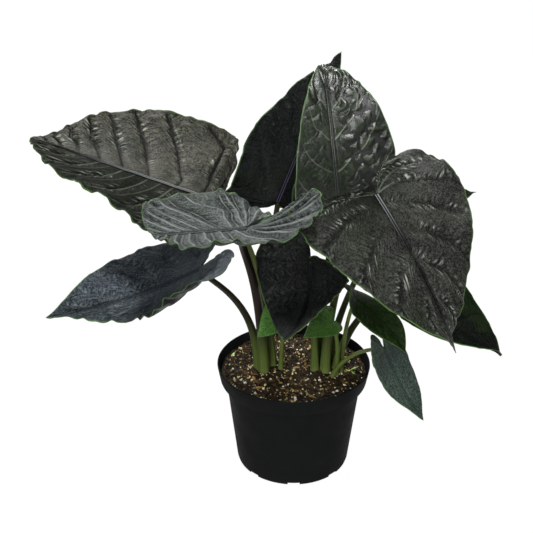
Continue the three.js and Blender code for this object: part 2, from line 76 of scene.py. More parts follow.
# Each leaf, with the CAD model's own values. The midrib goes from base past mid to tip, and face is the
# way that the upper side looks. Pairs are for the left and the right half: width, length of the lobe,
# lift in degrees at the base and at the tip, curl and pitch of the lobe in degrees, taper, splay of the
# lobe, and the margin's wave as height, number and phase. The stalk's middle starts at foot, is drawn
# towards rise and reach and ends under the blade, and stalk gives its radius at the foot and at the top
LEAVES = dict(
    upper_left=dict(
        base=(-93, 39, 272), mid=(-208, 71, 301), tip=(-263, 98, 310), face=(0.11, 0.27, 0.96),
        width=(82, 126), lobe=(34, 56), lift=((-37, -12), (5, 18)), curl=(23, 43), pitch=(10, -100),
        taper=(1.43, 0.7), splay=(0, 0.4), wave=((3, 5, 0.1), (2.5, 4, 0.3)), foot=(-21.5, 3),
        rise=(-20, 8, 143), reach=(-37, 26, 270), stalk=(4.4, 2.6)),
    back=dict(
        base=(-15.8, 69, 252), mid=(15.6, 114, 315), tip=(50.2, 165, 381), face=(-0.5, -0.8, 0.34),
        width=(53, 51), lobe=(21.5, 8), lift=((17, -17), (-10, -4)), curl=(48, -10), pitch=(8, 10),
        taper=(0.52, 1.1), splay=(0.34, 0), wave=((3, 5, 0.6), (2, 4, 0)), foot=(-27, 14),
        rise=(-24, 22, 160), reach=(-23, 72, 208), stalk=(4.2, 2.6)),
    front=dict(
        base=(-45, -67, 282), mid=(-100, -103, 293), tip=(-120, -116, 297), face=(0.05, -0.08, 1),
        width=(69, 58), lobe=(60, 41.5), lift=((3, 2), (7, 6)), curl=(32, 6), pitch=(41, -6),
        taper=(0.78, 0.5), splay=(-0.1, -0.06), wave=((3, 5, 0.2), (3, 4, 0.5)), foot=(-29.5, -6.5),
        rise=(-31, -6, 230), reach=(-59, -11, 236), stalk=(5, 3.4)),
    top=dict(
        base=(41, 26, 270), mid=(31, 43, 359), tip=(25, 75, 390), face=(0.1, -0.85, 0.51),
        width=(42, 61.5), lobe=(31, 21), lift=((1, 19), (-4.5, 3)), curl=(11, 2), pitch=(-130, 0),
        taper=(1.21, 0.91), splay=(0.29, 0), wave=((1.5, 6, 0), (1.5, 6, 0.4)), foot=(24.5, 5),
        rise=(25, 12, 165), reach=(37, 40, 228), stalk=(4.6, 2.3)),
    right=dict(
        base=(71, -30, 298), mid=(106, -90, 249), tip=(136, -115, 186), face=(-0.24, 0.16, 0.96),
        width=(78, 87), lobe=(57, 34), lift=((-3, 10), (2, -6)), curl=(9, 12), pitch=(-22, -42),
        taper=(1.08, 1.19), splay=(0.21, -0.3), wave=((2, 6, 0.5), (1.5, 5, 0)), foot=(31, -6.5),
        rise=(31, -4, 175), reach=(48, -10, 245), stalk=(4.8, 2.7)),
    centre=dict(
        base=(14, -21, 229), mid=(9, -43, 190), tip=(-12, -100, 189), face=(-0.32, -0.55, 0.77),
        width=(58, 55), lobe=(8, 34), lift=((23, 22), (4, -3)), curl=(19, -1), pitch=(11, -30),
        taper=(1.46, 0.92), splay=(-0.3, -0.06), wave=((1, 4, 0), (1.5, 4, 0.5)), foot=(21.5, -4.5),
        rise=(20, -4, 150), reach=(18, -8, 195), stalk=(4.2, 2)),
    lower_left=dict(
        base=(-89, -23, 222), mid=(-161, -22, 190), tip=(-226, -66, 194), face=(0.37, -0.26, 0.89),
        width=(86, 64), lobe=(48, 17), lift=((-7, 31), (-3, 31)), curl=(55, -15), pitch=(9, 29),
        taper=(1.04, 0.93), splay=(-0.3, 0), wave=((3, 4, 0.7), (2, 4, 0.2)), foot=(-35, 2.5),
        rise=(-33, 1, 181), reach=(-77, -10, 198), stalk=(4.6, 2.5)),
    lower_right=dict(
        base=(109, 16, 170), mid=(172, 15, 131), tip=(204, -12, 124), face=(0.75, -0.57, 0.33),
        width=(54, 21.5), lobe=(26, 20), lift=((7, 1), (3, 7)), curl=(15, 6), pitch=(0, 40),
        taper=(0.99, 0.96), wave=((1.5, 4, 0), (1.5, 4, 0.5)), foot=(40, -1), rise=(48, 6, 165),
        reach=(102, 28, 180), stalk=(4.6, 2.3)),
    far_right=dict(
        base=(99, 50, 246), mid=(142, 70, 256), tip=(186, 90, 255), face=(0.1, -0.1, 1), width=(38, 38),
        lobe=(30, 30), lift=((5, 5), (5, 5)), wave=((2, 4, 0), (2, 4, 0.5)), foot=(34, 7.5),
        rise=(40, 14, 170), reach=(80, 42, 218), stalk=(4.2, 2.3)),
    young_right=dict(
        base=(57, -30, 194), mid=(83, -39, 173), tip=(101, -64, 156), face=(-0.12, -0.11, 0.99),
        width=(27, 25), lobe=(16, 23), lift=((-5, 14), (3, 9)), curl=(-21, -10), pitch=(0, 39),
        taper=(0.93, 0.98), splay=(0, -0.09), wave=((1, 3, 0), (1, 3, 0.5)), foot=(46.5, -6),
        rise=(47, -7, 135), reach=(50, -22, 176), stalk=(2.6, 1.7)),
    hanging_right=dict(
        base=(86, -28, 139), mid=(104, -29, 99), tip=(125, -49, 72), face=(0.49, -0.59, 0.65),
        width=(32, 26), lobe=(18, 26), lift=((-7, 10), (6, -2)), curl=(-6, 4), pitch=(0, -6),
        taper=(0.83, 0.99), splay=(0, -0.16), wave=((1, 4, 0.3), (1, 4, 0)), foot=(34, -14.2),
        rise=(38, -21, 122), reach=(62, -28, 142), stalk=(2.4, 1.6)),
    small_right=dict(
        base=(34, -30, 171), mid=(22, -40, 167), tip=(7, -52, 166), face=(0, -0.5, 0.85), width=(14, 19),
        lobe=(4, 12), wave=((0.6, 3, 0), (0.6, 3, 0.5)), foot=(41, -11.5), rise=(43, -16, 125),
        reach=(43, -24, 150), stalk=(2.4, 1.6)),
    small_left=dict(
        base=(-12, -18, 177), mid=(-24, -26, 165), tip=(-36, -31, 154), face=(0, -0.8, 0.6),
        width=(16, 16), lobe=(12, 12), wave=((0.6, 3, 0), (0.6, 3, 0.5)), foot=(-13.5, -3),
        rise=(-13, -3, 125), reach=(-8, -8, 158), stalk=(2.4, 1.6)),
)
# The values of a flat leaf, where its own entry doesn't give them
FLAT = dict(lift=((0, 0), (0, 0)), curl=(0, 0), pitch=(0, 0), taper=(1, 1), splay=(0, 0))
YOUNG = ("young_right", "hanging_right", "small_right", "small_left")

# How a leaf looks where its own entry says nothing else. Pairs are for its left and its right half
PLAIN_LOOK = dict(
    # The shader's roughness, specular level and sheen, and how far green patches show
    rough=0.4, spec=0.03, sheen=0, tint=0.1,
    # Painted shade over each half and over each lobe, and painted light over the base
    dim=(0, 0), lobe_dim=(0, 0), pale_base=0,
    # How far the midrib's pale lines show and how far along they go, and how far sunk side veins, raised
    # ones and glinting streaks show
    rib_mix=0.5, rib_reach=0.6, vein_mix=0.5, ridge_mix=0.4, streaks=0,
    # How far the side veins sweep towards the tip, whether they stand out of each half and of the lobes
    # (1) or sink in (0), and the strength of weaker ones between them
    sweep=(0.12, 0.12), raised=(1, 1), lobe_raised=1, branches=0.3,
    # Pillows: their length, how many lengths from a side vein they reach, where they start on the way to
    # the margin, the slant of their rows, and columns in a panel, or 0 for blisters that ignore panels
    pillow_size=8, pillow_reach=1.1, pillow_start=0.2, slant=0.8, columns=2,
    # Strength of the finest bumps, how far painted light along the side veins and painted shade between
    # them follow the folds, and how far the stalk turns brown above its green foot
    crease=1, fold=0, browned=0.9,
)

# Each leaf: the dark and the light of its face, its side veins and its midrib as sRGB values of 0 to 255,
# the number of panels between side veins, and heights in millimetres of its quilting (negative where the
# panels sink), its frilled margin, its wrinkles and its pillows
LOOKS = dict(
    upper_left=dict(
        dark=(5, 5, 4), light=(67, 67, 59), vein=(84, 90, 76), rib=(112, 114, 116), veins=15, quilt=3,
        ruffle=2.2, wrinkles=0.5, pillows=(4.4, 4.4), tint=0.35, dim=(0.85, 0), rib_mix=0.75,
        rib_reach=0.35, vein_mix=0.9, ridge_mix=0.5, streaks=0.6, sweep=(0.26, 0.13), raised=(1, 0),
        lobe_raised=0, branches=0.7, pillow_size=6.5, pillow_reach=1.2, slant=0.9, browned=0.55),
    back=dict(
        dark=(2, 2, 2), light=(20, 22, 22), vein=(24, 28, 28), rib=(55, 51, 67), veins=13, quilt=2.4,
        ruffle=2.5, wrinkles=0.3, pillows=(1.6, 1.6), rough=0.5, sheen=0.01, rib_mix=0.7, rib_reach=0.7,
        ridge_mix=0.2, streaks=0.04),
    front=dict(
        dark=(9, 12, 10), light=(74, 79, 77), vein=(108, 114, 110), rib=(86, 91, 91), veins=15, quilt=-3.2,
        ruffle=2.4, wrinkles=0.35, pillows=(0.8, 0.8), rough=0.42, spec=0.04, sheen=0.03, tint=0.15,
        rib_mix=0.35, rib_reach=1, vein_mix=0.6, ridge_mix=0.65, sweep=(0.05, 0.05), branches=0.8,
        fold=1.1, browned=1),
    top=dict(
        dark=(2, 4, 2), light=(33, 41, 27), vein=(107, 114, 99), rib=(30, 34, 26), veins=10, quilt=1.8,
        ruffle=2.4, wrinkles=0.1, pillows=(1.8, 7), rough=0.35, spec=0.4, sheen=0.01, tint=0.4,
        rib_mix=0.6, ridge_mix=0.6, sweep=(0.24, 0.24), raised=(0.4, 1), branches=0, pillow_size=13.5,
        pillow_reach=4, pillow_start=0.02, slant=0, columns=0, crease=0.3),
    right=dict(
        dark=(3, 3, 3), light=(46, 48, 43), vein=(104, 110, 100), rib=(120, 122, 124), veins=9, quilt=1,
        ruffle=1.8, wrinkles=0.35, pillows=(4, 4), spec=0.05, tint=0.2, lobe_dim=(0, 0.8), rib_mix=0.7,
        rib_reach=0.12, vein_mix=0.1, streaks=0.85, sweep=(0.26, 0.26), raised=(0, 0), branches=0,
        pillow_size=5.5, pillow_start=0.12, browned=0.8),
    centre=dict(
        dark=(2, 2, 2), light=(27, 30, 28), vein=(39, 43, 42), rib=(29, 32, 35), veins=12, quilt=1.6,
        ruffle=1.2, wrinkles=0.3, pillows=(1.2, 1.2), rough=0.5, sheen=0.01, rib_reach=0.2, ridge_mix=0.25,
        streaks=0.04, sweep=(0.15, 0.15), browned=0.6),
    lower_left=dict(
        dark=(5, 8, 8), light=(67, 74, 80), vein=(71, 78, 84), rib=(45, 50, 58), veins=12, quilt=2.2,
        ruffle=1.8, wrinkles=0.35, pillows=(1.6, 1.6), spec=0.05, sheen=0.04, pale_base=0.55, streaks=0.5,
        sweep=(0.15, 0.15), pillow_size=9, fold=0.2, browned=0.95),
    lower_right=dict(
        dark=(2, 2, 2), light=(10, 16, 9), vein=(14, 18, 15), rib=(12, 16, 12), veins=11, quilt=1.4,
        ruffle=1, wrinkles=0.25, pillows=(0.6, 0.6), rough=0.45, sheen=0.02, tint=0.4, rib_reach=0.4,
        ridge_mix=0.3, raised=(0, 0), lobe_raised=0),
    far_right=dict(
        dark=(2, 3, 2), light=(10, 14, 11), vein=(14, 19, 16), rib=(19, 24, 21), veins=11, quilt=1.2,
        ruffle=1, wrinkles=0.2, pillows=(0.3, 0.3), rough=0.45, spec=0.05, sheen=0.02, tint=0.4,
        rib_reach=0.4, ridge_mix=0.3, raised=(0, 0), lobe_raised=0, browned=0.8),
    young_right=dict(
        dark=(20, 32, 14), light=(46, 64, 31), vein=(44, 66, 32), rib=(50, 74, 38), veins=10, quilt=0.9,
        ruffle=0.5, wrinkles=0.12, pillows=(0.3, 0.3), tint=0.3, rib_reach=0.5, sweep=(0.15, 0.15),
        raised=(0, 0), lobe_raised=0, browned=0.2),
    hanging_right=dict(
        dark=(34, 44, 40), light=(76, 90, 82), vein=(84, 96, 80), rib=(86, 106, 97), veins=11, quilt=1,
        ruffle=0.8, wrinkles=0.2, pillows=(0.4, 0.4), rough=0.42, sheen=0.04, tint=0.15, rib_mix=0.4,
        sweep=(0.15, 0.15), browned=0.35),
    small_right=dict(
        dark=(22, 44, 10), light=(50, 84, 22), vein=(64, 100, 34), rib=(74, 110, 42), veins=10, quilt=0.9,
        ruffle=0.4, wrinkles=0.12, pillows=(0.2, 0.2), spec=0.15, tint=0, rib_reach=1, ridge_mix=0.5,
        browned=0.1),
    small_left=dict(
        dark=(28, 60, 13), light=(56, 98, 26), vein=(70, 108, 40), rib=(80, 114, 46), veins=10, quilt=0.9,
        ruffle=0.4, wrinkles=0.12, pillows=(0.2, 0.2), rough=0.42, spec=0.15, tint=0, rib_mix=0.4,
        rib_reach=1, ridge_mix=0.5, browned=0.1),
)

# Colours that the blades share
RIM_GREEN = (60, 84, 42)
LEAF_GREEN = (20, 32, 10)
SHADED = (6, 9, 5)
GLINT = (150, 156, 146)
UNDERSIDE = (15, 15, 15)
YOUNG_UNDERSIDE = (44, 72, 34)


def look_of(name):
    return SimpleNamespace(**{**PLAIN_LOOK, **LOOKS[name]})


def linear(colour):
    """A linear RGBA colour from sRGB values of 0 to 255."""
    shares = [c / 255 for c in colour]
    return [s / 12.92 if s <= 0.04045 else ((s + 0.055) / 1.055) ** 2.4 for s in shares] + [1.0]


def unit(v):
    return v / np.maximum(np.linalg.norm(v, axis=-1, keepdims=True), 1e-9)


def mix(a, b, share):
    return a + (b - a) * share


def smooth(edge0, edge1, x):
    s = np.clip((x - edge0) / (edge1 - edge0), 0, 1)
    return s * s * (3 - 2 * s)


def value_noise(x, y, seed):
    """Smooth noise between -1 and 1 over the plane, with lattice cells of side 1."""
    table = np.random.default_rng(seed).uniform(-1, 1, (256, 256))
    xi, yi = (np.floor(v).astype(int) for v in (x, y))
    fx, fy = smooth(0, 1, x - xi), smooth(0, 1, y - yi)
    low, high = (mix(table[xi % 256, row % 256], table[(xi + 1) % 256, row % 256], fx)
                 for row in (yi, yi + 1))
    return mix(low, high, fy)


def cell_borders(x, y, seed):
    """Distance to the nearest border of irregular cells of side 1, which is 0 on the border."""
    centres = np.random.default_rng(seed).uniform((0.35, 0.15), (0.65, 0.85), (64, 64, 2))
    xi, yi = (np.floor(v).astype(int) for v in (x, y))
    nearest = np.full(x.shape, 9.0)
    second = nearest.copy()
    for dx in (-1, 0, 1):
        for dy in (-1, 0, 1):
            centre = centres[(xi + dx) % 64, (yi + dy) % 64]
            away = np.hypot(xi + dx + centre[..., 0] - x, yi + dy + centre[..., 1] - y)
            second = np.minimum(second, np.maximum(nearest, away))
            nearest = np.minimum(nearest, away)
    return second - nearest


def add_object(name, data):
    thing = bpy.data.objects.new(name, data)
    scene.collection.objects.link(thing)
    return thing


def add_mesh(name, points, faces, attributes=None):
    """A smooth-shaded object from points in millimetres, faces and values at the points."""
    mesh = bpy.data.meshes.new(name)
    points = np.asarray(points, dtype=np.float32) * MM
    faces = np.asarray(faces, dtype=np.int32)
    sides = faces.shape[1]
    mesh.vertices.add(len(points))
    mesh.vertices.foreach_set("co", points.ravel())
    mesh.loops.add(faces.size)
    mesh.loops.foreach_set("vertex_index", faces.ravel())
    mesh.polygons.add(len(faces))
    mesh.polygons.foreach_set("loop_start", np.arange(0, faces.size, sides, dtype=np.int32))
    mesh.polygons.foreach_set("use_smooth", np.ones(len(faces), dtype=bool))
    mesh.update(calc_edges=True)
    for key, values in (attributes or {}).items():
        layer = mesh.attributes.new(key, "FLOAT", "POINT")
        layer.data.foreach_set("value", np.asarray(values, dtype=np.float32))
    mesh.validate()
    return add_object(name, mesh)


def dress(piece, material, slot, *replaced):
    """Gives a piece its material, ties it to the root body and hides the CAD parts that it stands for. The
    slot argument is not used.
    """
    piece.data.materials.append(material)
    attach(piece, "root")
    if replaced:
        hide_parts(*replaced)


def outline_at(a):
    """Points of the half outline, on a smooth curve through its own, for a from the notch to the tip."""
    padded = np.vstack([2 * OUTLINE[0] - OUTLINE[1], OUTLINE, 2 * OUTLINE[-1] - OUTLINE[-2]])
    last = len(OUTLINE) - 1
    x = np.clip(a, 0, 1) * last
    i = np.minimum(x.astype(int), last - 1)
    f = (x - i)[..., None]
    p0, p1, p2, p3 = (padded[i + k] for k in range(4))
    slope = p2 - p0
    bend = 2 * p0 - 5 * p1 + 4 * p2 - p3
    twist = p3 - p0 + 3 * (p1 - p2)
    return 0.5 * (2 * p1 + slope * f + bend * f * f + twist * f ** 3)


class Midrib:
    """The curve that a blade's midrib follows, and the way that the blade faces along it."""

    def __init__(self, leaf):
        self.base, mid, self.tip = (np.array(leaf[k], dtype=float) for k in ("base", "mid", "tip"))
        self.control = 2 * mid - (self.base + self.tip) / 2
        self.face = unit(np.array(leaf["face"], dtype=float))
        way = self.point(np.linspace(0, 1, 201))
        self.length = np.linalg.norm(np.diff(way, axis=0), axis=1).sum()

    def point(self, share):
        s = np.asarray(share)[..., None]
        return (1 - s) ** 2 * self.base + 2 * s * (1 - s) * self.control + s ** 2 * self.tip

    def axes(self, share):
        """The midrib's direction, and the way up from the blade at right angles to it."""
        s = np.asarray(share)[..., None]
        tangent = unit((1 - s) * (self.control - self.base) + s * (self.tip - self.control))
        return tangent, unit(self.face - (tangent @ self.face)[..., None] * tangent)


def hem_fade(a):
    """Fades what happens along the margin out at the notch and at the tip."""
    return np.sqrt(np.sin(np.pi * np.clip(a, 0, 1)))


def blade_points(leaf, rib, a, t, side):
    """The middle surface of half a blade, without its quilting, as in the CAD model, and how far its
    points lie from the midrib. a goes from the notch to the tip, and t from the midrib to the margin."""
    ex, ey = np.moveaxis(outline_at(a), -1, 0)
    ahead = np.maximum(ex, 1e-9) ** leaf["taper"][side] * rib.length
    reach = np.where(ex > 0, ahead, ex * leaf["lobe"][side])
    spread = ey + leaf["splay"][side] * np.maximum(-ex - NOTCH, 0)
    root = np.clip((a - FAN_SHARE) / (1 - FAN_SHARE), 0, 1) ** RIB_SPACING * rib.length
    along = mix(root, reach, t)
    across = spread * leaf["width"][side] * t

    share = np.clip(along / rib.length, 0, 1)
    tangent, up = rib.axes(share)
    outward = np.cross(up, tangent) * (1 if side == 0 else -1)

    lift = np.radians(mix(leaf["lift"][side][0], leaf["lift"][side][1], share))
    bow = math.radians(leaf["curl"][side]) * across / leaf["width"][side] / 2
    chord = across * np.sinc(bow / math.pi)
    back = np.minimum(along, 0)
    turn = math.radians(leaf["pitch"][side]) * (1 + np.clip(-back / leaf["lobe"][side], 0, 1)) / 2

    height, count, phase = leaf["wave"][side]
    wave = height * hem_fade(a) * t ** 2.5 * np.sin(2 * np.pi * (count * a + phase))

    sideways = chord * np.cos(lift + bow)
    upward = chord * np.sin(lift + bow) + wave - back * np.sin(turn)
    points = rib.point(share) + outward * sideways[..., None] + up * upward[..., None]
    return points + tangent * (back * np.cos(turn))[..., None], across


def side_panels(look, side, a, t, points, seed):
    """Panels between the side veins, which sweep towards the tip: each point's, counted from the notch,
    and the height of a panel there in millimetres."""
    bend = look.sweep[side] * smooth(0, 0.5, a) * (1 - a * a) * t ** 1.2
    bend = bend + 0.01 * value_noise(a * 7 + 3, t * 4 + 5, seed + 7) * smooth(0, 0.4, t)
    stretch = np.linalg.norm(np.gradient(points, axis=0), axis=-1) / np.gradient(a, axis=0)
    return (a - bend) * look.veins, stretch * PANEL_SKEW / look.veins


def pillow_borders(look, points, panels, off_mm, outwards, wobble, patch, seed):
    """Borders of the pillows in their slanting rows, or of blisters laid out in millimetres."""
    size = look.pillow_size
    if look.columns == 0:
        x = points[..., 0] / size + 0.5 * wobble
        z = points[..., 2] / size - 0.4 * patch
        return cell_borders(0.8 * x + 0.6 * z + 20, 0.8 * z - 0.6 * x + 20, seed)
    rows = (outwards - look.slant * off_mm) / size + 0.4 * wobble
    return cell_borders(look.columns * panels, rows, seed + 3)


def midrib_lines(across, shown, outwards, scale):
    """The midrib's double line, the groove along its middle and the furrow beside it."""
    width = mix(1.1, 0.6, np.clip(shown, 0, 1)) * max(scale, 0.5)
    ahead = smooth(-0.2, 0, shown)
    reach = np.maximum(ahead, smooth(3.0, 1.0, outwards))
    line = np.exp(-((across - 1.1 * width) / (0.75 * width)) ** 2) * reach
    groove = np.exp(-(across / (0.6 * width)) ** 2) * ahead
    beside = np.exp(-((across - 3.2 * width) / (0.9 * width)) ** 2) * ahead
    return line, groove, beside


def blade_relief(leaf, look, a, t, side, points, across, seed):
    """Heights of half a blade's relief, and shares at its points, under the names in SHAPES and PLACES."""
    scale = min(1.0, leaf["width"][side] / QUILT_WIDTH)
    row_length = np.linalg.norm(points[:, -1:] - points[:, :1], axis=-1)
    outwards, inward = t * row_length, (1 - t) * row_length
    shown = (a - FAN_SHARE) / (1 - FAN_SHARE)
    calm = smooth(1.0, 0.76, a)
    clear = smooth(2, 14, outwards) * smooth(0, 6, inward) * calm
    x, depth = points[..., 0], points[..., 1] + points[..., 2]
    wobble = value_noise(x / 9 + 40, depth / 9 + 40, seed)
    patch = value_noise(x / 17 + 9, depth / 15 + 9, seed + 1)

    panels, panel_mm = side_panels(look, side, a, t, points, seed)
    off = np.abs(panels - np.round(panels))
    off_mm = off * panel_mm
    arch = np.sin(np.pi * np.clip(t, 0, 1)) ** 0.7
    quilt = look.quilt * scale * np.sin(np.pi * off) ** 0.9 * arch * calm

    # Wrinkles that leave the side veins like the barbs of a feather, and pillows near them
    feather = (outwards - 0.9 * off_mm) / 3.8 + 0.5 * wobble
    wrinkles = np.abs(np.sin(np.pi * feather)) ** 0.8 - 0.6
    wrinkles = wrinkles * clear * smooth(0.3, 2.5, off_mm) * (0.6 + 0.4 * patch)
    border = pillow_borders(look, points, panels, off_mm, outwards, wobble, patch, seed)
    spread, start = look.pillow_reach * look.pillow_size, look.pillow_start
    near = np.exp(-(off_mm / spread) ** 2) * smooth(start, start + 0.3, t)
    pillows = (np.sqrt(np.clip(border, 0, 1)) - 0.6) * near * clear * (0.75 + 0.25 * patch)
    fine = look.wrinkles * wrinkles + look.pillows[side] * pillows
    # Painted light and shade: lighter on crests, darker in pits and, for folded blades, lighter on side
    # veins
    crest_shading = 0.5 + 0.35 * wrinkles + 0.8 * pillows + look.fold * (0.5 - 2 * off) * arch

    # Side veins sink into the face or stand out of it, with weaker ones between them
    width = mix(1.2, 0.8, t) * max(scale, 0.4)
    along = smooth(0, 6, inward) * smooth(0.5, 5.0, outwards)
    vein = np.exp(-(off_mm / width) ** 2) * along
    between = np.exp(-((0.5 - off) * panel_mm / (0.8 * width)) ** 2)
    between = between * along * smooth(0.2, 0.5, t) * look.branches
    raised = mix(look.lobe_raised, look.raised[side], smooth(FAN_SHARE - 0.04, FAN_SHARE, a))
    sunk = (1 - raised) * vein
    ridge = raised * np.maximum(vein, between)
    midrib, groove, beside = midrib_lines(across, shown, outwards, scale)
    lines = 0.7 * (ridge - 1.6 * look.vein_mix * sunk) + 0.8 * midrib - 0.5 * groove - 0.6 * beside

    ruffle = look.ruffle * scale * t ** 5 * np.sin(2 * np.pi * panels + 0.8 + 2 * wobble)
    ruffle = ruffle * hem_fade(a) * calm
    margin = smooth(1.6, 0.3, inward)
    # Painted shade over a whole half and over the back lobes
    dim = np.maximum(look.dim[side], look.lobe_dim[side] * smooth(0.28, 0.02, shown))
    return dict(top=quilt + fine * (1 - 0.9 * margin) + scale * calm * lines + ruffle,
                quilt=quilt + ruffle, vein=np.maximum(sunk, 0.7 * beside), midrib=midrib, groove=groove,
                margin=margin, panels=panels, panel_mm=panel_mm, outwards=outwards, inward=inward,
                across=across, shown=shown, crest_shading=np.clip(crest_shading, 0, 1), dim=dim, raised=raised)


# What shapes a blade's mesh, and what its material reads at each point: the panel counted from the
# notch, its height in millimetres, distances from the midrib and from the margin along the line across
# and from the midrib squarely, the share of the midrib passed, painted light and shade that follow the
# relief, painted shade over halves and lobes, and raised veins
SHAPES = ("top", "quilt", "vein", "midrib", "groove", "margin")
PLACES = ("panels", "panel_mm", "outwards", "inward", "across", "shown", "crest_shading", "dim", "raised")


def whole(faces):
    """The triangles that haven't shrunk to a line."""
    a, b, c = faces.T
    return faces[(a != b) & (b != c) & (a != c)]


def grid_faces(index, flip):
    """Triangles of a grid of point numbers."""
    quads = np.stack([index[:-1, :-1], index[:-1, 1:], index[1:, 1:], index[1:, :-1]], -1)
    quads = quads.reshape(-1, 4)
    if flip:
        quads = quads[:, ::-1]
    return whole(np.vstack([quads[:, [0, 1, 2]], quads[:, [0, 2, 3]]]))


def circle(sides):
    """Angles round a circle, in radians."""
    return np.linspace(0, 2 * np.pi, sides, endpoint=False)


def ring_faces(rings, sides, flip=False):
    """Triangles of a closed body of rings of points, with a middle point for each end after them."""
    index = np.arange(rings * sides).reshape(rings, sides)
    following = np.roll(index, -1, axis=1)
    faces = [grid_faces(np.hstack([index, index[:, :1]]), flip)]
    for row, middle in ((0, index.size), (-1, index.size + 1)):
        edge = [index[row], following[row]]
        if (row == 0) != flip:
            edge.reverse()
        faces.append(np.stack([np.full(sides, middle), *edge], -1))
    return np.vstack(faces)


def vertex_normals(points, faces):
    a, b, c = (points[faces[:, k]] for k in range(3))
    each = np.cross(b - a, c - a)
    normals = np.zeros_like(points)
    for k in range(3):
        np.add.at(normals, faces[:, k], each)
    return unit(normals)


def blade_walls(upper, lower, flip):
    """Triangles that join half a blade's two faces along its margin and its notch. The lower face has
    every second column of the upper one."""
    rim_top, rim_low = upper[:, -1], lower[:, -1]
    notch_top, notch_low = upper[0], lower[0]
    walls = np.vstack([
        np.stack([rim_top[:-1], rim_top[1:], rim_low[1:]], -1),
        np.stack([rim_top[:-1], rim_low[1:], rim_low[:-1]], -1),
        np.stack([notch_top[0:-1:2], notch_top[1::2], notch_low[:-1]], -1),
        np.stack([notch_top[1::2], notch_low[1:], notch_low[:-1]], -1),
        np.stack([notch_top[1::2], notch_top[2::2], notch_low[1:]], -1),
    ])
    return walls[:, ::-1] if flip else walls


def make_blade(name, seed):
    """A whole blade: a finely shaped upper face, a ribbed underside and a thin rounded margin."""
    leaf = {**FLAT, **LEAVES[name]}
    look = look_of(name)
    rib = Midrib(leaf)
    cell = CELL if rib.length > SMALL_LENGTH else SMALL_CELL
    widest = max(leaf["width"])
    rows = int((rib.length * 1.25 + widest + max(leaf["lobe"])) / cell)
    columns = 2 * int(widest * 0.95 / cell / 2)
    ways_out = np.linspace(0, 1, columns + 1) ** CROWDING
    a, t = np.meshgrid(np.linspace(0, 1, rows + 1), ways_out, indexing="ij")

    # Point numbers: the base, the tip, the midrib that both halves share, then each half
    midrib_rows = np.where(a[:, 0] > FAN_SHARE)[0][:-1]
    shown = np.clip((a[midrib_rows, 0] - FAN_SHARE) / (1 - FAN_SHARE), 0, 1)
    first = np.zeros(rows + 1, dtype=int)
    first[midrib_rows] = 2 + np.arange(len(midrib_rows))
    first[-1] = 1
    own = rows * columns
    start = 2 + len(midrib_rows)
    points = np.zeros((start + 2 * own, 3))
    points[0], points[1] = rib.base, rib.tip
    points[2:start] = rib.point(shown ** RIB_SPACING)
    masks = {k: np.zeros(len(points)) for k in SHAPES + PLACES}
    indices = []
    for side in (0, 1):
        index = np.ones((rows + 1, columns + 1), dtype=int)
        index[:, 0] = first
        index[:rows, 1:] = start + side * own + np.arange(own).reshape(rows, columns)
        surface, across = blade_points(leaf, rib, a, t, side)
        points[index[:rows, 1:]] = surface[:rows, 1:]
        relief = blade_relief(leaf, look, a, t, side, surface, across, seed + 2 * side)
        for key, values in masks.items():
            values[index[:rows, 1:]] = relief[key][:rows, 1:]
            values[index[midrib_rows, 0]] = relief[key][midrib_rows, 0]
        indices.append(index)
    masks["panels"][1] = look.veins
    masks["shown"][1] = 1
    faces = np.vstack([grid_faces(indices[0], True), grid_faces(indices[1], False)])
    normals = vertex_normals(points, faces)

    scale = min(1.0, widest / QUILT_WIDTH)
    thickness = mix(BLADE_BODY, BLADE_EDGE, masks["margin"])[:, None]
    upper = points + normals * (thickness / 2 + masks["top"][:, None])
    narrow = smooth(1.0, 0.7, masks["shown"])
    swell = scale * (0.5 * masks["vein"] + 1.6 * narrow * (masks["midrib"] + masks["groove"]))
    lower = points - normals * (thickness / 2 - masks["quilt"][:, None] + swell[:, None])

    # The underside keeps every row and every second column
    kept = [index[:, ::2] for index in indices]
    numbers = np.unique(np.concatenate([k.ravel() for k in kept]))
    renumber = np.zeros(len(points), dtype=int)
    renumber[numbers] = len(points) + np.arange(len(numbers))
    below = [renumber[k] for k in kept]
    walls = [blade_walls(indices[side], below[side], side == 1) for side in (0, 1)]
    faces = whole(np.vstack([faces, grid_faces(below[0], False), grid_faces(below[1], True), *walls]))

    everything = np.vstack([upper, lower[numbers]])
    attributes = {key: np.concatenate([masks[key], masks[key][numbers]]) for key in PLACES}
    attributes["under"] = np.concatenate([np.zeros(len(points)), np.ones(len(numbers))])
    return add_mesh("blade_" + name, everything, faces, attributes)


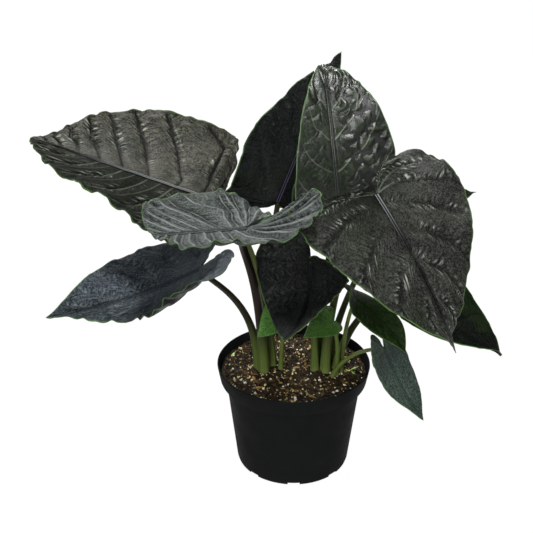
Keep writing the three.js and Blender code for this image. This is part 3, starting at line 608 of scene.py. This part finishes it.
class Nodes:
    """Short helpers that build one material's node tree. n["name"] is a value that the mesh holds."""

    def __init__(self, name):
        self.material = bpy.data.materials.new(name)
        self.material.use_nodes = True
        self.tree = self.material.node_tree
        self.place = self.node("TexCoord", "Object")
        self.held = {}

    def __getitem__(self, name):
        if name not in self.held:
            self.held[name] = self.node("Attribute", "Fac", attribute_name=name)
        return self.held[name]

    def put(self, inputs, values):
        for key, value in values.items():
            if isinstance(value, bpy.types.NodeSocket):
                self.tree.links.new(value, inputs[key])
            else:
                inputs[key].default_value = value

    def node(self, kind, output, inputs=None, **settings):
        node = self.tree.nodes.new("ShaderNode" + kind)
        for key, value in settings.items():
            setattr(node, key, value)
        self.put(node.inputs, inputs or {})
        return node.outputs[output]

    def vector(self, x, y, z=0.0):
        return self.node("CombineXYZ", "Vector", {"X": x, "Y": y, "Z": z})

    def noise(self, scale, detail=3.0, rough=0.55, at=None, distortion=0.0):
        return self.node("TexNoise", "Fac", {
            "Vector": at or self.place, "Scale": scale, "Detail": detail, "Roughness": rough,
            "Distortion": distortion})

    def cells(self, scale):
        return self.node("TexVoronoi", "Distance", {"Vector": self.place, "Scale": scale})

    def math(self, operation, result, *others):
        """One operation on one value, on two, or from left to right on more."""
        for other in others or (0.0,):
            result = self.node("Math", 0, {0: result, 1: other}, operation=operation)
        return result

    def times(self, *values):
        return self.math("MULTIPLY", *values)

    def range(self, value, low, high, to_low=0.0, to_high=1.0):
        """A smooth step from to_low, where the value is low, to to_high, where it is high."""
        return self.node("MapRange", "Result", {
            "Value": value, "From Min": low, "From Max": high, "To Min": to_low, "To Max": to_high,
        }, interpolation_type="SMOOTHSTEP")

    def blend(self, share, first, second):
        """A mix of two colours, each a socket or sRGB values of 0 to 255."""
        a, b = (c if isinstance(c, bpy.types.NodeSocket) else linear(c) for c in (first, second))
        return self.node("Mix", "Result", {"Factor": share, "A": a, "B": b}, data_type="RGBA")

    def bump(self, height, distance, strength=1.0, under=None):
        below = {"Normal": under} if under else {}
        return self.node("Bump", "Normal", {
            "Height": height, "Distance": distance, "Strength": strength, **below})

    def finish(self, colour, roughness, normal, specular, **fixed):
        """Links or sets the shader's inputs. Underscores in the names of fixed ones stand for spaces."""
        self.put(self.tree.nodes["Principled BSDF"].inputs, {
            "Base Color": colour, "Roughness": roughness, "Specular IOR Level": specular,
            **({"Normal": normal} if normal else {}),
            **{key.replace("_", " "): value for key, value in fixed.items()}})
        return self.material


def vein_masks(n, look, size):
    """Distance from the nearest side vein in millimetres, and masks of raised side veins, of sunk ones
    and of the painted shadow beside them."""
    turn = n.math("FRACT", n.math("ADD", n["panels"], 0.5))
    off = n.math("ABSOLUTE", n.math("SUBTRACT", turn, 0.5))
    off_mm = n.times(off, n["panel_mm"])
    halfway = n.times(n.math("SUBTRACT", 0.5, off), n["panel_mm"])
    strength = n.range(n.noise(70, 2), 0.3, 0.65, 0.35, 1)
    fade = n.times(n.range(n["outwards"], 0.5, 5), n.range(n["inward"], 0, 6), strength)
    vein = n.times(n.range(off_mm, 1.1 * size, 0.35 * size), fade)
    # Painted shadow beside the side veins
    flank_shadow = n.times(n.range(off_mm, 2.6 * size, 0.8 * size), fade)
    between = n.times(n.range(halfway, 0.8 * size, 0.2 * size), fade, look.branches)
    ridge = n.times(n.math("MAXIMUM", vein, between), n["raised"])
    return off_mm, ridge, n.times(vein, n.math("SUBTRACT", 1.0, n["raised"])), flank_shadow


def midrib_masks(n, look, size):
    """Masks of painted shadow beside the midrib, of its pale double line and of painted shade in its
    groove.
    """
    ahead = n.range(n["shown"], -0.15, 0)
    reach = look.rib_reach
    # Painted shadow beside the midrib
    beside = n.times(n.range(n["across"], 4 * size, 1.6 * size), ahead, n.range(n["shown"], 0.95, 0.75))
    line = n.math("ABSOLUTE", n.math("SUBTRACT", n["across"], 1.1 * size))
    line = n.times(n.range(line, 0.75 * size, 0.25 * size), ahead)
    line = n.times(line, n.range(n["shown"], reach + 0.3, reach - 0.2))
    return beside, line, n.times(n.range(n["across"], 0.7 * size, 0.15 * size), ahead)


def face_tone(n, off_mm):
    """Fine streaks that leave the side veins, and the tone of clouds, grain, streaks and painted light and
    shade on the relief.
    """
    feather = n.math("SUBTRACT", n["outwards"], n.times(off_mm, 0.8))
    at = n.vector(n.times(off_mm, 0.16), n.times(feather, 0.7), n.times(n["inward"], 0.06))
    streak = n.noise(1.0, 3, 0.6, at=at)
    parts = (
        (n.range(n.noise(34, 4), 0.36, 0.64), 0.22),
        (n.range(n.noise(520, 2, 0.7), 0.4, 0.6), 0.38),
        (n.range(streak, 0.38, 0.62), 0.33),
        # Painted light on crests and painted shade in pits
        (n.range(n["crest_shading"], 0.2, 0.8), 0.3),
    )
    tone = n.math("ADD", *(n.times(part, share) for part, share in parts))
    return streak, n.math("POWER", tone, 2.0)


def leaf_material(name):
    """Velvet with veins, midrib and a green rim, worked out from the places on one blade."""
    look = look_of(name)
    size, back = (0.6, YOUNG_UNDERSIDE) if name in YOUNG else (1.0, UNDERSIDE)
    dark = look.dark
    # A darker copy of the face, for painted shade in pits, sunk side veins and the midrib's groove
    hollow_shade = [c * 0.4 for c in dark]
    n = Nodes("leaf_" + name)
    off_mm, ridge, sunk, flank_shadow = vein_masks(n, look, size)
    beside, line, groove = midrib_masks(n, look, size)
    streak, tone = face_tone(n, off_mm)
    # Painted glints on crests near the side veins
    shine = n.times(n.range(n["crest_shading"], 0.45, 0.7), n.range(off_mm, 9, 3), n.range(streak, 0.44, 0.6),
                    n.range(n.noise(26, 2), 0.42, 0.6))
    rim = n.times(n.range(n["inward"], 1.5, 0.3), n.range(n.noise(60, 2), 0.3, 0.6, 0.3, 0.9))
    layers = (
        (n.range(n.noise(19, 3), 0.5, 0.68), look.tint, LEAF_GREEN),
        # Painted shade in the pits between crests
        (n.range(n["crest_shading"], 0.42, 0.1), 0.75, hollow_shade),
        # Painted shade over whole halves and lobes
        (n["dim"], 1, SHADED),
        # Painted light over the base of the blade
        (n.range(n["shown"], 0.45, -0.1), look.pale_base, look.vein),
        (shine, look.streaks, GLINT),
        # Painted shadow beside the side veins
        (flank_shadow, 0.5 * look.vein_mix, dark),
        # Painted shade in the sunk side veins
        (sunk, look.vein_mix, hollow_shade),
        (ridge, look.ridge_mix, look.vein),
        # Painted shadow beside the midrib
        (beside, 0.6, dark),
        (line, look.rib_mix, look.rib),
        # Painted shade in the midrib's groove
        (groove, 0.85, hollow_shade),
        (n["under"], 0.9, back),
        (rim, 1, RIM_GREEN),
    )
    colour = n.blend(tone, dark, look.light)
    for mask, share, paint in layers:
        colour = n.blend(n.times(mask, share), colour, paint)

    rough = n.range(n.noise(140, 3), 0.3, 0.7, look.rough - 0.06, look.rough + 0.08)
    rough = n.math("ADD", rough, n.times(n["dim"], 0.4))
    creases = n.bump(n.noise(480, 2, 0.6, distortion=0.4), 0.0009, 0.8 * look.crease)
    normal = n.bump(n.cells(1000), 0.0005, 0.7 * look.crease, creases)
    return n.finish(colour, rough, normal, look.spec, Sheen_Weight=look.sheen,
                    Sheen_Roughness=0.4, Sheen_Tint=(0.75, 0.85, 0.85, 1))


# Stalks: the mesh, the gap under the blade's middle surface, the dome at the top, and how high and how
# far the foot widens like a sheath
STALK_STEPS = 70
STALK_SIDES = 28
STALK_TOP_GAP = 0.9
STALK_DOME = 0.4
SHEATH_HEIGHT = 34
SHEATH_SWELL = 0.22


def stalk_material():
    n = Nodes("stalk")
    at = n.vector(n.times(n["around"], 9.0), n.times(n["along"], 1.5))
    streaks = n.noise(1.0, 4, 0.6, at=at)
    wander = n.math("ADD", n["height"], n.times(n.math("SUBTRACT", streaks, 0.5), 40.0))
    brown = n.times(n.range(wander, 2, 62), n["browned"])
    green = n.blend(n.range(streaks, 0.3, 0.7), (58, 70, 30), (80, 94, 43))
    dark = n.blend(n.range(streaks, 0.3, 0.7), (10, 7, 5), (27, 18, 12))
    colour = n.blend(n.range(n["height"], 9, 1, 0, 0.3), n.blend(brown, green, dark), (108, 114, 68))
    return n.finish(colour, n.range(streaks, 0.2, 0.8, 0.38, 0.55), n.bump(streaks, 0.0005, 0.4), 0.12)


def stalk_curve(leaf, s):
    """The middle of a stalk and its direction, for s from 0 at its foot to 1 at its blade."""
    rib = Midrib(leaf)
    foot = np.array([*leaf["foot"], SOIL_LEVEL - STALK_SINK])
    rise, reach = (np.array(leaf[key], dtype=float) for key in ("rise", "reach"))
    top = rib.base - rib.axes(0.0)[1] * STALK_TOP_GAP
    centre = ((1 - s) ** 3 * foot + 3 * s * (1 - s) ** 2 * rise
              + 3 * s * s * (1 - s) * reach + s ** 3 * top)
    way = unit(3 * (1 - s) ** 2 * (rise - foot) + 6 * s * (1 - s) * (reach - rise)
               + 3 * s * s * (top - reach))
    return centre, way


def make_stalk(name, material):
    """A stalk that is round with soft ribs, widens at its foot and ends under its blade."""
    foot_radius, tip_radius = LEAVES[name]["stalk"]
    s = np.linspace(0, 1, STALK_STEPS + 1)[:, None]
    centre, way = stalk_curve(LEAVES[name], s)
    front = np.array([0.0, 1.0, 0.0])
    u = unit(front - (way @ front)[:, None] * way)
    v = np.cross(way, u)
    above = centre[:, 2:] - SOIL_LEVEL
    sheath = np.exp(-(np.maximum(above, 0) / SHEATH_HEIGHT) ** 2)
    radius = mix(foot_radius, tip_radius, s ** 0.5) * (1 + SHEATH_SWELL * sheath)
    angle = circle(STALK_SIDES)[None, :]
    ripple = 1 + 0.035 * np.sin(5 * angle + 6 * s) + 0.03 * np.sin(2 * angle - 9 * s)
    points = (centre[:, None] + u[:, None] * (radius * ripple * np.cos(angle))[..., None]
              + v[:, None] * (radius * ripple * np.sin(angle))[..., None])
    around = np.broadcast_to(np.abs(angle / np.pi - 1), points.shape[:2])
    everything = np.vstack([points.reshape(-1, 3), centre[0], centre[-1] + way[-1] * STALK_DOME])
    piece = add_mesh("petiole_" + name, everything, ring_faces(STALK_STEPS + 1, STALK_SIDES), {
        "height": np.append(points[..., 2].ravel() - SOIL_LEVEL, [0, 100]),
        "along": np.append(np.repeat(s[:, 0] * 8, STALK_SIDES), [0, 8]),
        "around": np.append(around.ravel(), [0, 0]),
        "browned": np.full(len(everything), look_of(name).browned),
    })
    dress(piece, material, "stalk", "stalk_" + name)


# Pot: the CAD model's profile with rounded corners, and its drainage notches as boxes in its foot
POT_OUTSIDE = [
    (0, 0), (36, 0), (38.4, 2.4), (43.6, 2.4), (46, 0), (53.5, 0), (55, 0.3), (56.1, 1.2), (57, 4),
    (57.24, 6), (62.3, 49), (67.3, 91.2), (67.7, 92.4), (68.6, 93), (72.3, 93), (72.9, 93.4), (73.2, 94.2),
    (74.6, 101.5), (75.9, 108.8), (75.9, 109.5), (75.5, 110),
]
POT_INSIDE = [(74.8, 110), (74.4, 109.5), (71.4, 94.6), (65.8, 91.4), (60.5, 48), (55.4, 5), (0, 5)]
POT_SIDES = 160
POT_FOOT_RADIUS = 57
NOTCHES = 8
NOTCH_BOX = (24, 12, 7)
SHARP_FROM = math.radians(34)


def turned(profile, sides):
    """Points and faces of a closed body, from a profile of (radius, height) turned about the axis."""
    radii, heights = np.array(profile, dtype=float).T
    angle = circle(sides)
    x = radii[1:-1, None] * np.cos(angle)
    y = radii[1:-1, None] * np.sin(angle)
    z = np.broadcast_to(heights[1:-1, None], x.shape)
    rings = np.stack([x, y, z], -1).reshape(-1, 3)
    points = np.vstack([rings, [0, 0, heights[0]], [0, 0, heights[-1]]])
    return points, ring_faces(len(profile) - 2, sides)


def pot_material():
    n = Nodes("pot_plastic")
    dust = n.range(n.noise(9, 5, 0.6), 0.45, 0.75)
    rough = n.range(n.noise(45, 4), 0.3, 0.7, 0.6, 0.75)
    normal = n.bump(n.noise(1600, 2, 0.6), 0.00012, 0.6)
    return n.finish(n.blend(n.times(dust, 0.5), (12, 13, 13), (16, 17, 17)), rough, normal, 0.03)


def make_pot():
    points, faces = turned(POT_OUTSIDE + POT_INSIDE, POT_SIDES)
    pot = add_mesh("nursery_pot", points, faces)
    cutters = []
    for k in range(NOTCHES):
        bpy.ops.mesh.primitive_cube_add(size=1)
        box = bpy.context.object
        turn = 2 * math.pi * k / NOTCHES
        box.scale = [side * MM for side in NOTCH_BOX]
        box.rotation_euler = (0, 0, turn)
        box.location = (POT_FOOT_RADIUS * MM * math.cos(turn), POT_FOOT_RADIUS * MM * math.sin(turn), 0)
        cut = pot.modifiers.new("notch", "BOOLEAN")
        cut.operation = "DIFFERENCE"
        cut.solver = "EXACT"
        cut.object = box
        cutters.append(box)
    bpy.context.view_layer.update()
    shaped = bpy.data.meshes.new_from_object(pot.evaluated_get(bpy.context.evaluated_depsgraph_get()))
    pot.modifiers.clear()
    pot.data = shaped
    for box in cutters:
        bpy.data.objects.remove(box)
    pot.data.set_sharp_from_angle(angle=SHARP_FROM)
    dress(pot, pot_material(), "pot", "pot")


# Soil: its radius at the top and at the bottom, how far its middle rises, the coarse crumbs of the CAD
# model, and finer ones as size, height and seed
SOIL_EDGE = 72.0
SOIL_BOTTOM_EDGE = 70.6
SOIL_SWELL = 1.6
SOIL_BOTTOM = 93.0
SOIL_SIDES = 240
SOIL_RINGS = 96
CRUMB_HEIGHT = 1.1
FINE_CRUMBS = ((4.5, 0.8, 5), (2.2, 0.6, 6), (1.2, 0.35, 7))


def soil_height(x, y):
    """Height of the soil's surface, with the CAD model's crumbs and finer ones."""
    r = np.hypot(x, y)
    coarse = np.sin(x * 0.21) * np.cos(y * 0.24)
    medium = np.sin(x * 0.83 + y * 0.4) * np.cos(y * 0.71 + x * 0.4)
    height = SOIL_LEVEL + SOIL_SWELL * (1 - (r / SOIL_EDGE) ** 2)
    height = height + CRUMB_HEIGHT * (0.6 * coarse + 0.4 * medium)
    for size, amount, seed in FINE_CRUMBS:
        height = height + amount * value_noise(x / size + 90, y / size + 90, seed)
    return height


def soil_at(x, y):
    """A point on the soil's surface."""
    return np.array([x, y, float(soil_height(np.array([x]), np.array([y]))[0])])


def soil_material():
    n = Nodes("peat_mix")
    clumps = n.noise(260, 5, 0.65)
    fibres = n.noise(700, 3, 0.6, distortion=1.2)
    colour = n.blend(n.range(clumps, 0.36, 0.64), (8, 7, 5), (46, 36, 21))
    colour = n.blend(n.range(fibres, 0.56, 0.72, 0, 0.7), colour, (112, 86, 52))
    return n.finish(colour, 0.9, n.bump(clumps, 0.0016, 0.9, n.bump(fibres, 0.0006, 0.8)), 0.15)


def make_soil():
    radii = SOIL_EDGE * np.linspace(1 / SOIL_RINGS, 1, SOIL_RINGS)[:, None]
    angle = circle(SOIL_SIDES)
    x, y = radii * np.cos(angle), radii * np.sin(angle)
    top = np.stack([x, y, soil_height(x, y)], -1).reshape(-1, 3)
    foot = np.stack([SOIL_BOTTOM_EDGE * np.cos(angle), SOIL_BOTTOM_EDGE * np.sin(angle),
                     np.full(SOIL_SIDES, SOIL_BOTTOM)], -1)
    points = np.vstack([top, foot, soil_at(0.0, 0.0), [0, 0, SOIL_BOTTOM]])
    bed = add_mesh("soil_bed", points, ring_faces(SOIL_RINGS + 1, SOIL_SIDES, flip=True))
    dress(bed, soil_material(), "soil", "soil")


def unit_lump():
    """Points and triangles of a ball of 42 points."""
    golden = (1 + math.sqrt(5)) / 2
    corners = []
    for p in (-1, 1):
        for q in (-golden, golden):
            corners += [(0, p, q), (p, q, 0), (q, 0, p)]
    points = unit(np.array(corners, dtype=float))
    reach = np.linalg.norm(points[:, None] - points[None], axis=-1)
    near = (reach > 0.1) & (reach < 1.2)
    faces = []
    for i, j, k in itertools.combinations(range(12), 3):
        if near[i, j] and near[j, k] and near[i, k]:
            out = np.dot(np.cross(points[j] - points[i], points[k] - points[i]), points[i]) > 0
            faces.append((i, j, k) if out else (i, k, j))
    points = list(points)
    middles = {}

    def middle(p, q):
        key = (min(p, q), max(p, q))
        if key not in middles:
            middles[key] = len(points)
            points.append(unit(points[p] + points[q]))
        return middles[key]

    finer = []
    for i, j, k in faces:
        ij, jk, ki = middle(i, j), middle(j, k), middle(k, i)
        finer += [(i, ij, ki), (ij, j, jk), (ki, jk, k), (ij, jk, ki)]
    return np.array(points), np.array(finer)


LUMP_POINTS, LUMP_FACES = unit_lump()


def turn_matrix(rng):
    """A random turn, as a 3 by 3 matrix."""
    w, x, y, z = unit(rng.normal(size=4))
    return np.array([
        [1 - 2 * (y * y + z * z), 2 * (x * y - z * w), 2 * (x * z + y * w)],
        [2 * (x * y + z * w), 1 - 2 * (x * x + z * z), 2 * (y * z - x * w)],
        [2 * (x * z - y * w), 2 * (y * z + x * w), 1 - 2 * (x * x + y * y)],
    ])


def spin_matrix(angle):
    """A turn about the vertical axis, for points as rows."""
    c, s = math.cos(angle), math.sin(angle)
    return np.array([[c, s, 0], [-s, c, 0], [0, 0, 1]])


def clear_of_stalks(x, y, room):
    return all(math.hypot(x - leaf["foot"][0], y - leaf["foot"][1]) > leaf["stalk"][0] + room
               for leaf in LEAVES.values())


def add_lumps(name, bodies, attributes=None):
    """One piece of many lumps."""
    faces = [LUMP_FACES + k * len(LUMP_POINTS) for k in range(len(bodies))]
    return add_mesh(name, np.vstack(bodies), np.vstack(faces), attributes)


def scatter(name, count, size, shape, lie, rise, seed, material):
    """Lumps strewn over the soil. size is a pair of radii, shape three pairs of stretch, lie the share
    that lies flat and rise how far they stand out of the soil, in radii."""
    rng = np.random.default_rng(seed)
    bodies, shades = [], []
    while len(bodies) < count:
        radius = mix(size[0], size[1], rng.random() ** 2.2)
        distance = (SOIL_EDGE - 1.5 - radius) * math.sqrt(rng.random())
        angle = rng.random() * 2 * math.pi
        x, y = distance * math.cos(angle), distance * math.sin(angle)
        stretch = np.array([rng.uniform(*pair) for pair in shape])
        dents = 1 + 0.22 * rng.normal(size=len(LUMP_POINTS))[:, None]
        turn = turn_matrix(rng)
        shade = rng.random()
        if not clear_of_stalks(x, y, radius * 0.6):
            continue
        body = LUMP_POINTS * dents * stretch * radius
        lies = rng.random() <= lie
        body = body @ (spin_matrix(rng.random() * 2 * math.pi) if lies else turn.T)
        bodies.append(body + soil_at(x, y) + np.array([0, 0, rise * radius]))
        shades.append(shade)
    piece = add_lumps(name, bodies, {"shade": np.repeat(shades, len(LUMP_POINTS))})
    dress(piece, material, "soil")


def lump_material(name, first, second, third, grain, rough):
    """Three colours, from the shade of each lump, with darker flecks."""
    n = Nodes(name)
    colour = n.blend(n.range(n["shade"], 0.1, 0.6), first, second)
    colour = n.blend(n.range(n["shade"], 0.6, 0.95), colour, third)
    fleck = n.noise(grain, 4, 0.65)
    colour = n.blend(n.range(fleck, 0.5, 0.75, 0, 0.6), colour, [c * 0.45 for c in first])
    return n.finish(colour, rough, n.bump(fleck, 0.0006, 0.8), 0.2)


def make_litter():
    """Crumbs, bark chips, yellow chips and grains of perlite on the soil."""
    scatter("crumbs", 1100, (0.5, 1.7), ((0.8, 1.5), (0.7, 1.1), (0.5, 0.9)), 0.5, 0.2, 21,
            lump_material("crumb", (11, 9, 6), (30, 24, 14), (68, 52, 28), 900, 0.9))
    scatter("bark_chips", 240, (0.8, 2.4), ((1.2, 2.4), (0.5, 1.0), (0.2, 0.45)), 0.7, 0.25, 22,
            lump_material("bark", (50, 36, 18), (96, 70, 36), (150, 122, 72), 500, 0.8))
    scatter("yellow_chips", 500, (0.4, 1.3), ((0.9, 1.6), (0.7, 1.1), (0.4, 0.8)), 0.5, 0.3, 24,
            lump_material("chips", (140, 124, 70), (200, 184, 124), (228, 218, 168), 700, 0.8))
    scatter("perlite", 150, (0.5, 1.6), ((0.9, 1.2), (0.8, 1.1), (0.7, 1.0)), 0.3, 0.35, 23,
            lump_material("perlite", (180, 176, 160), (212, 210, 198), (160, 148, 112), 700, 0.85))


# Small sprouts that come up through the soil, each with its place, heading and length
SPROUTS = ((-61, 25, 0.9, 8.0), (61, -4, 0.1, 10.0), (55, -7, -0.3, 8.0), (59, -10, 2.6, 6.0))
SPROUT_TILT = 0.35
SPROUT_WIDTH = 1.2
SPROUT_THICKNESS = 0.45


def make_sprouts():
    bodies = []
    c, s = math.cos(SPROUT_TILT), math.sin(SPROUT_TILT)
    tilt = np.array([[c, 0, s], [0, 1, 0], [-s, 0, c]])
    for x, y, heading, length in SPROUTS:
        body = LUMP_POINTS * (length / 2, SPROUT_WIDTH, SPROUT_THICKNESS)
        body[:, 1] *= 1 - 0.7 * np.clip(body[:, 0] / length * 2, 0, 1)
        body = body @ tilt @ spin_matrix(heading)
        bodies.append(body + soil_at(x, y) + np.array([0, 0, length / 2 * s]))
    piece = add_lumps("sprouts", bodies)
    n = Nodes("sprout")
    mottle = n.noise(500, 3)
    colour = n.blend(n.range(mottle, 0.35, 0.65), (96, 134, 40), (160, 184, 84))
    dress(piece, n.finish(colour, 0.5, n.bump(mottle, 0.0003, 0.5), 0.5), "young_leaf")


# Camera at the photograph's angle, and its lens and sensor in millimetres
CAMERA_AT = (-27, -860.69, 620.84)
CAMERA_TO = (-27, 0, 214)
LENS = 67.5
SENSOR = 36.0


def make_camera():
    data = bpy.data.cameras.new("camera")
    data.lens = LENS
    data.sensor_width = SENSOR
    data.clip_end = 50
    camera = add_object("camera", data)
    camera.location = Vector(CAMERA_AT) * MM
    aim = Vector(CAMERA_TO) - Vector(CAMERA_AT)
    camera.rotation_euler = aim.to_track_quat("-Z", "Y").to_euler()
    scene.camera = camera


# Floor and light, in metres: each softbox has its place, its size and its power
FLOOR_SIZE = 12.0
LIT_PLACE = (0, 0, 0.25)
SOFTBOXES = {
    "back_wall": ((0.0, 2.8, 1.25), (4.6, 1.9), 14),
    "back_top": ((-0.6, 1.7, 1.7), (0.7, 0.5), 62),
    "overhead": ((0.3, -0.5, 2.3), (0.4, 0.4), 72),
    "front_fill": ((0.7, -1.9, 1.9), (1.1, 1.1), 42),
    "left_fill": ((-0.9, -2.0, 0.6), (0.8, 0.8), 44),
}
SKY = 0.08


def make_floor():
    bpy.ops.mesh.primitive_plane_add(size=FLOOR_SIZE)
    floor = bpy.context.object
    floor.name = "floor"
    paint = Nodes("floor_paint")
    floor.data.materials.append(paint.finish(
        linear((40, 40, 40)), 0.9, None, 0, Emission_Color=(1, 1, 1, 1), Emission_Strength=0.98))


def make_light():
    for name, (at, size, power) in SOFTBOXES.items():
        data = bpy.data.lights.new(name, "AREA")
        data.shape = "RECTANGLE"
        data.size, data.size_y = size
        data.energy = power
        lamp = add_object(name, data)
        lamp.location = at
        lamp.rotation_euler = (Vector(LIT_PLACE) - Vector(at)).to_track_quat("-Z", "Y").to_euler()
    world = bpy.data.worlds.new("studio")
    scene.world = world
    world.use_nodes = True
    background = world.node_tree.nodes["Background"]
    background.inputs["Color"].default_value = (1, 1, 1, 1)
    background.inputs["Strength"].default_value = SKY
    scene.view_settings.view_transform = "Standard"


make_camera()
for number, leaf_name in enumerate(LEAVES):
    blade = make_blade(leaf_name, 100 + 10 * number)
    slot = "young_leaf" if leaf_name in YOUNG else "leaf"
    dress(blade, leaf_material(leaf_name), slot, "leaf_" + leaf_name)
stalk_look = stalk_material()
for leaf_name in LEAVES:
    make_stalk(leaf_name, stalk_look)
make_pot()
make_soil()
make_litter()
make_sprouts()
make_floor()
make_light()
